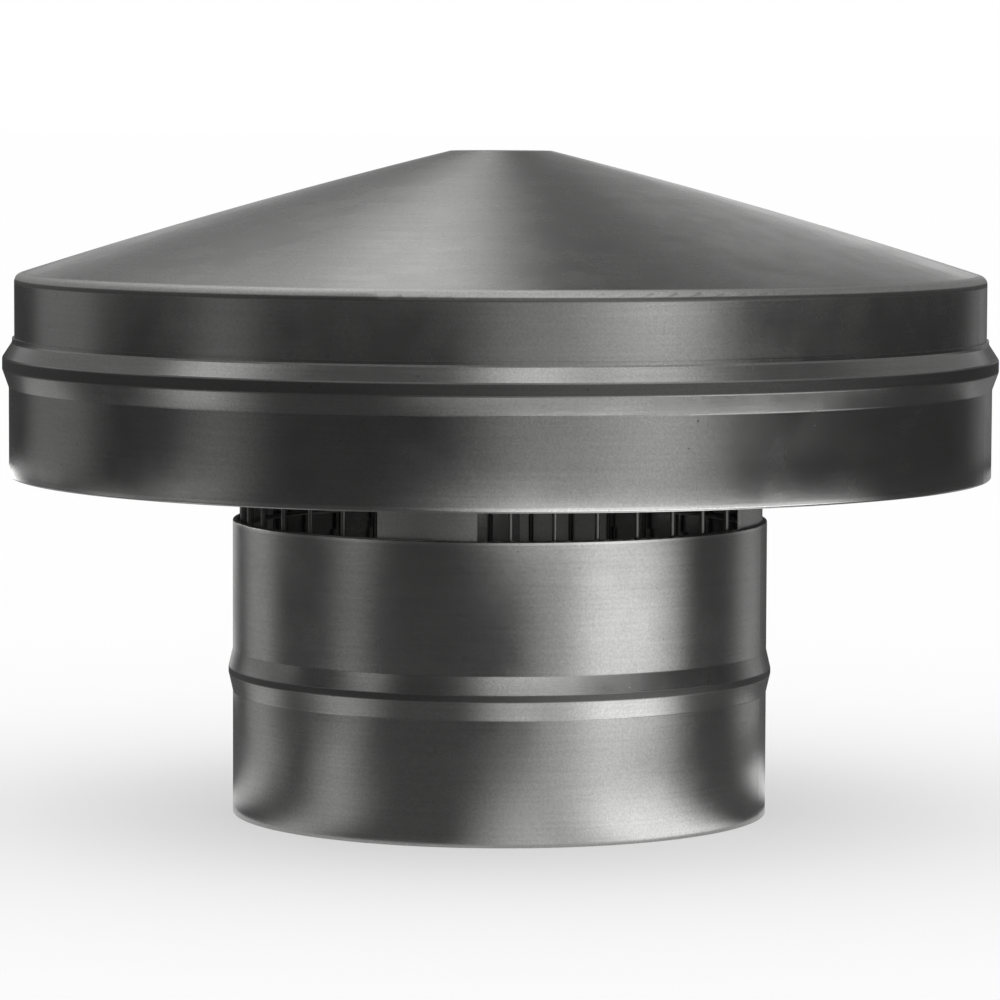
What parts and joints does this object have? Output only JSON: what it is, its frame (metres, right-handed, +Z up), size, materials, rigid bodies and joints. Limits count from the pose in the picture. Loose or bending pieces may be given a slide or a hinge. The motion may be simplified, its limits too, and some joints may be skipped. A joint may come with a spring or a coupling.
{
  "type": "roof vent cowl",
  "caption": "Roof vent cowl: a crowned conical hat with a beaded, open-bottomed skirt, held by straps over a beaded duct spigot with a wire bird guard between them.",
  "frame": {"origin": "on the axis, level with the spigot's lower rim, on which the cowl stands", "axes": "+Z up along the axis of symmetry; +X and +Y point at two of the straps, and -Y at the strap nearest the viewer"},
  "size_m": [0.2952, 0.2952, 0.1968],
  "materials": {
    "sheet_steel": "satin",
    "strap_steel": "matt",
    "wire_steel": "satin"
  },
  "bodies": {
    "root": {"hat": "sheet_steel", "skirt": "sheet_steel", "spigot": "sheet_steel", "bracket_right": "strap_steel", "bracket_back": "strap_steel", "bracket_left": "strap_steel", "bracket_front": "strap_steel", "guard_upright_wires": "wire_steel", "guard_hoop_wires": "wire_steel"}
  },
  "joints": []
}
